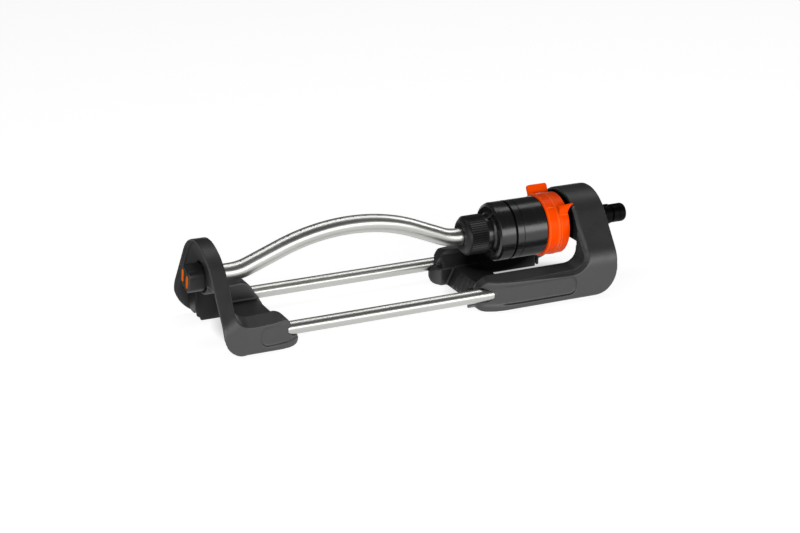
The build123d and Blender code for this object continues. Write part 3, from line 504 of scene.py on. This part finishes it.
def ease_edges(piece):
    """Smooth a piece's edges, less so close to the base tubes."""
    eased = piece.vertex_groups.new(name="eased")
    for vertex in piece.data.vertices:
        away = min(math.hypot(vertex.co.y - y, vertex.co.z - z) for y, z in tube_lines)
        share = min(1.0, max(least_ease, (away - ease_from_tube) / ease_blend))
        eased.add([vertex.index], share, "REPLACE")
    ease = piece.modifiers.new("ease", "SMOOTH")
    ease.factor = ease_factor
    ease.iterations = ease_rounds
    ease.vertex_group = eased.name
    apply_modifiers(piece)
    piece.vertex_groups.clear()


def soft_skin(node, cuts, collar=None):
    """Copy of a moulding with eased edges, cuts in both sides and, if asked, collars round the tubes."""
    cutter = make_cutter(cuts)
    piece = add_object(node + "_skin", nodes[node].data.copy())
    piece.matrix_world = nodes[node].matrix_world
    if collar:
        add_collars(piece.data, **collar)
    add_remesh(piece, "close")
    cut = piece.modifiers.new("cut", "BOOLEAN")
    cut.operation = "DIFFERENCE"
    cut.solver = "MANIFOLD"
    cut.object = cutter
    add_remesh(piece, "close_again")
    apply_modifiers(piece)
    bpy.data.objects.remove(cutter)
    ease_edges(piece)
    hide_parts(node)
    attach(piece, "frame")


# From the outer end of each moulding to the tips of its noses
foot_reach, bar_reach = 0.0770, 0.1410
foot_tip = bracket_start + foot_reach
bar_tip = frame_end - bar_reach
foot_panel = panel_sections(foot_tip, facing=1, nose=0.0340, closed=0.0415, opened=0.0065, depth=0.0012)
bar_panel = panel_sections(bar_tip, facing=-1, nose=0.0440, closed=0.0990, opened=0.0185, depth=0.0016)
bar_collar = dict(start=bar_tip + 0.0177, end=bar_tip + 0.0285, radius=0.0066)
soft_skin("left_bracket", [foot_panel])
soft_skin("right_frame", [bar_panel, window_sections()], bar_collar)


# Moulded ridges on the stop rings

ridge_sunk = 0.0001
ridge_points = 9
ring_turns = 144
cross_rows = 7
cross_rise = 2.2


def half_round():
    """Cosine and sine of the points of a ridge's rounded section."""
    angles = [math.pi * n / (ridge_points - 1) for n in range(ridge_points)]
    return [(math.cos(angle), math.sin(angle)) for angle in angles]


def on_ring(place, radius, angle):
    """Point at a radius from the axis, at an angle from the top towards the front."""
    return place, -radius * math.sin(angle), axis_height + radius * math.cos(angle)


def add_ridge(name, body, rows, joined):
    """Smooth-shaded ridge through rows of points, which moves with a ring's body."""
    work = bmesh.new()
    loft(work, rows, joined)
    bmesh.ops.recalc_face_normals(work, faces=work.faces)
    mesh = bpy.data.meshes.new(name)
    work.to_mesh(mesh)
    work.free()
    mesh.shade_smooth()
    # The ridge takes the lighter orange of painted highlights
    mesh.materials.append(materials["ridge_highlight_plastic"])
    piece = add_object(name, mesh)
    keep_out_of_reflections(piece)
    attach(piece, body)


def ridge_round(name, body, place, height, width):
    """Ridge that runs right round a stop ring, at a place measured from the ring's left side."""
    rows = []
    for turn in range(ring_turns):
        angle = -2 * math.pi * turn / ring_turns
        rows.append([on_ring(ring_start[body] + place - width / 2 * across,
                             ring_radius - ridge_sunk + height * up, angle) for across, up in half_round()])
    add_ridge(name, body, rows, joined=True)


def ridge_across(name, body, start, end, degrees, height, width):
    """Ridge across a stop ring between two places, at an angle from the top towards the front."""
    rows = []
    for row in range(cross_rows):
        share = row / (cross_rows - 1)
        lift = height * min(1.0, math.sin(math.pi * share) * cross_rise)
        rows.append([on_ring(ring_start[body] + start + (end - start) * share,
                             ring_radius - ridge_sunk + lift * up,
                             math.radians(degrees) - width / 2 * across / ring_radius)
                     for across, up in half_round()])
    add_ridge(name, body, rows, joined=False)


ridge_round("left_ring_front_ridge", "ring_left", place=0.0014, height=0.0005, width=0.0016)
ridge_round("left_ring_back_ridge", "ring_left", place=0.0108, height=0.0005, width=0.0026)
ridge_round("right_ring_front_ridge", "ring_right", place=0.0025, height=0.0005, width=0.0014)
ridge_across("left_ring_cross_ridge", "ring_left", start=0.0023, end=0.0088, degrees=40.5,
             height=0.0008, width=0.0016)
ridge_across("right_ring_upper_ridge", "ring_right", start=0.0019, end=0.0103, degrees=41.0,
             height=0.0009, width=0.0018)
ridge_across("right_ring_lower_ridge", "ring_right", start=0.0024, end=0.0103, degrees=58.0,
             height=0.0008, width=0.0016)


# Floor, and a dark card on it behind the part that is seen only in reflections

def stage_paint(name, grey):
    """Dull paint for what isn't part of the object."""
    tree, shader = new_material(name)
    shader.inputs["Base Color"].default_value = (grey, grey, grey, 1)
    shader.inputs["Roughness"].default_value = 0.9
    shader.inputs["Specular IOR Level"].default_value = 0.0
    return tree, shader


def level_sheet(name, low, high, height, paint):
    """Level rectangle between two corners."""
    (left, front), (right, back) = low, high
    mesh = bpy.data.meshes.new(name)
    outline = ((left, front), (right, front), (right, back), (left, back))
    mesh.from_pydata([(x, y, height) for x, y in outline], [], [range(len(outline))])
    mesh.materials.append(materials[paint])
    return add_object(name, mesh)


def add_floor():
    """Pale floor with a glow that is weaker under the two ends of the part, as painted shadows."""
    tree, shader = stage_paint("floor_paint", 0.4)
    # Painted shadows: soft spots under the two ends where the floor glows less
    under_left = region(tree, (-0.155, 0, 0), (0.035, 0.055, 1))
    under_right = region(tree, (0.115, 0, 0), (0.085, 0.055, 1))
    shade = combine(tree, "MAXIMUM", under_left, under_right)
    open_glow, shaded_glow, full_shade = 0.87, 0.25, 0.5
    glow = remap(tree, shade, open_glow, shaded_glow, 0.0, full_shade)
    shader.inputs["Emission Color"].default_value = (1, 1, 1, 1)
    tree.links.new(glow, shader.inputs["Emission Strength"])
    materials["floor_paint"].cycles.emission_sampling = "NONE"
    floor = level_sheet("floor", (-8, -8), (8, 8), 0, "floor_paint")
    floor.visible_shadow = False


def add_card():
    """Dark card just above the floor behind the part, which the faces that look left mirror."""
    stage_paint("card_paint", 0.02)
    card = level_sheet("card", (-0.32, 0.078), (0.14, 0.40), 0.0004, "card_paint")
    card.visible_camera = False
    card.visible_diffuse = False
    card.visible_shadow = False


add_floor()
add_card()


# Light

# An area light's brightness is a quarter of its power for each square metre
power_for_brightness = 4.0


def softbox(name, place, aim, size, brightness):
    """Rectangular light turned towards a point and left out of the picture itself."""
    data = bpy.data.lights.new(name, "AREA")
    data.shape = "RECTANGLE"
    data.size, data.size_y = size
    data.energy = brightness * power_for_brightness * data.size * data.size_y
    lamp = add_object(name, data)
    lamp.location = place
    lamp.rotation_euler = (Vector(aim) - Vector(place)).to_track_quat("-Z", "Y").to_euler()
    lamp.visible_camera = False
    return lamp


softbox("front", place=(0.3, -1.8, 0.38), aim=(0.3, 0.0, 0.38), size=(3.4, 0.74), brightness=2.8)
softbox("left", place=(-0.85, -0.40, 0.35), aim=(-0.15, 0.0, 0.05), size=(0.7, 0.5), brightness=1.5)
softbox("top", place=(0.2, 0.45, 1.5), aim=(0.2, 0.45, 0.0), size=(2.6, 0.5), brightness=1.2)

# A long light that shines only on the three tubes
tube_light = softbox("strip", place=(2.4, 0.45, 1.5), aim=(2.4, 0.45, 0.0), size=(7.2, 0.7), brightness=3.6)
tubes = bpy.data.collections.new("tubes")
for name in ("spray_tube", "base_tube_front", "base_tube_back"):
    tubes.objects.link(nodes[name])
tube_light.light_linking.receiver_collection = tubes

world = bpy.data.worlds.new("studio")
world.use_nodes = True
background = world.node_tree.nodes["Background"]
background.inputs["Color"].default_value = (1, 1, 1, 1)
background.inputs["Strength"].default_value = 0.07
bpy.context.scene.world = world
bpy.context.scene.view_settings.view_transform = "Standard"


# Camera, at the photograph's angle

camera_place = (-0.6808, -1.42435, 0.60385)
camera_direction = (0.39852, 0.85193, -0.33972)
camera_data = bpy.data.cameras.new("camera")
camera_data.lens = 84.6
camera_data.sensor_width = 36.0
camera_data.clip_start = 0.01
camera = add_object("camera", camera_data)
camera.location = camera_place
camera.rotation_euler = Vector(camera_direction).to_track_quat("-Z", "Y").to_euler()
bpy.context.scene.camera = camera
